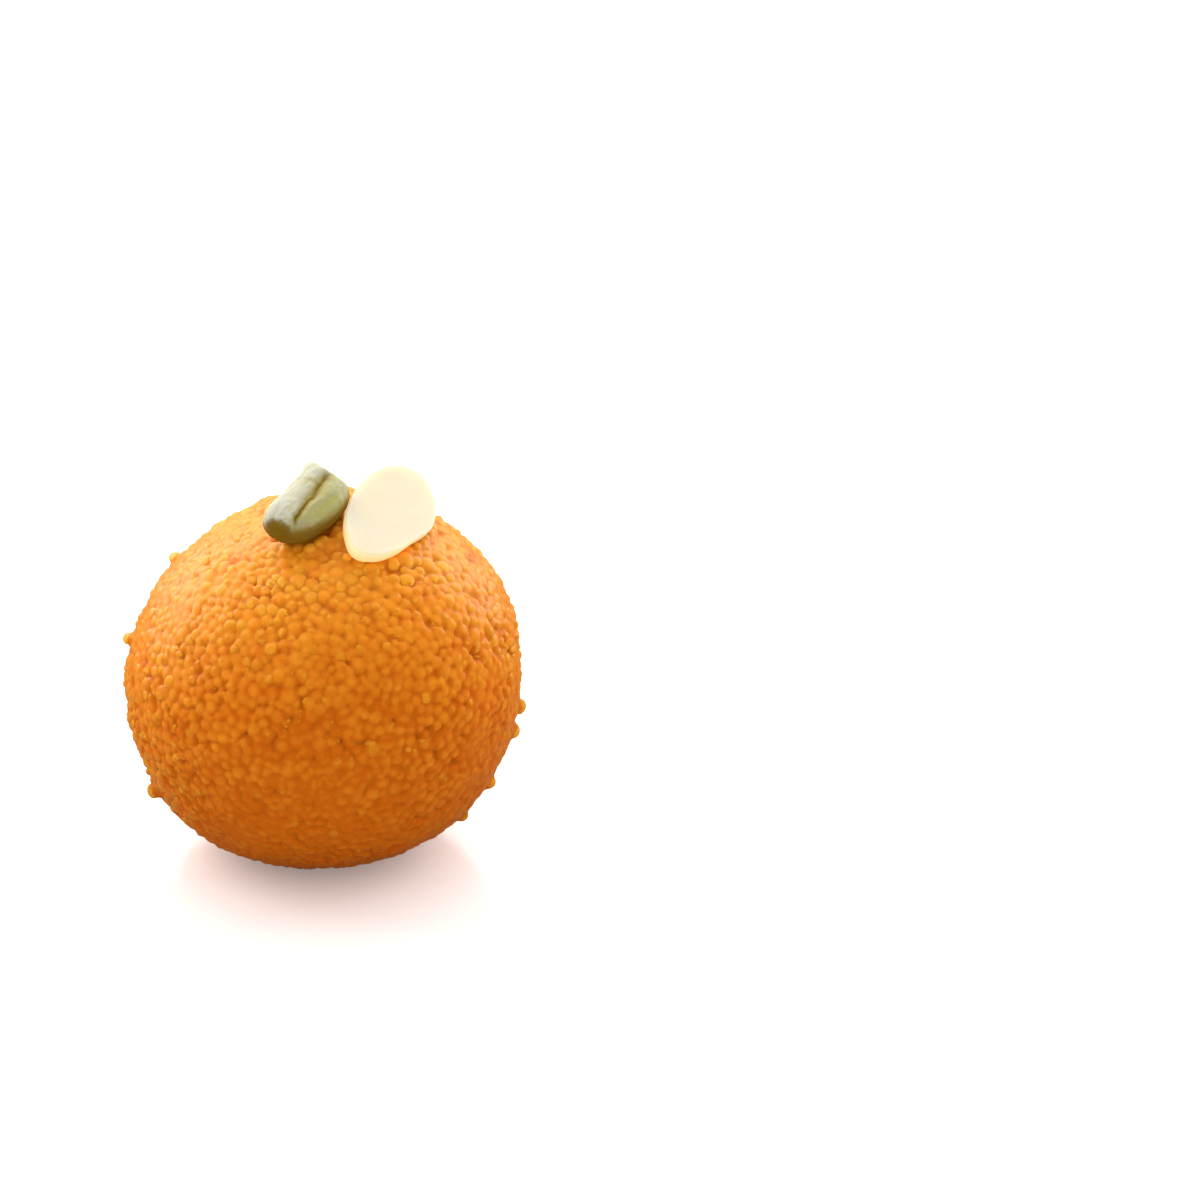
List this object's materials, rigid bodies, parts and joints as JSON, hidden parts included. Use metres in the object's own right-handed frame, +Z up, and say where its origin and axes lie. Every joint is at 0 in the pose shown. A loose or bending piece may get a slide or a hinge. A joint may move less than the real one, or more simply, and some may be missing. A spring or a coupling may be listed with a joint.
{
  "type": "laddu",
  "caption": "Motichoor laddu: a round sweet of tiny syrup-bound gram-flour pearls, topped with a green pistachio kernel and a pale almond flake.",
  "frame": {"origin": "middle of the flat spot under the ball, which is the bottom centre of the bounding box", "axes": "+Z up, -Y towards the front as pictured, +X to the right of the front view"},
  "size_m": [0.0461, 0.0458, 0.0476],
  "materials": {
    "boondi": "syrup-glazed orange pearls, slightly translucent",
    "pistachio": "matte grey-green skin",
    "almond": "smooth cream cut face"
  },
  "bodies": {
    "root": {"boondi_ball": "boondi", "pistachio_kernel": "pistachio", "almond_flake": "almond"}
  },
  "joints": []
}
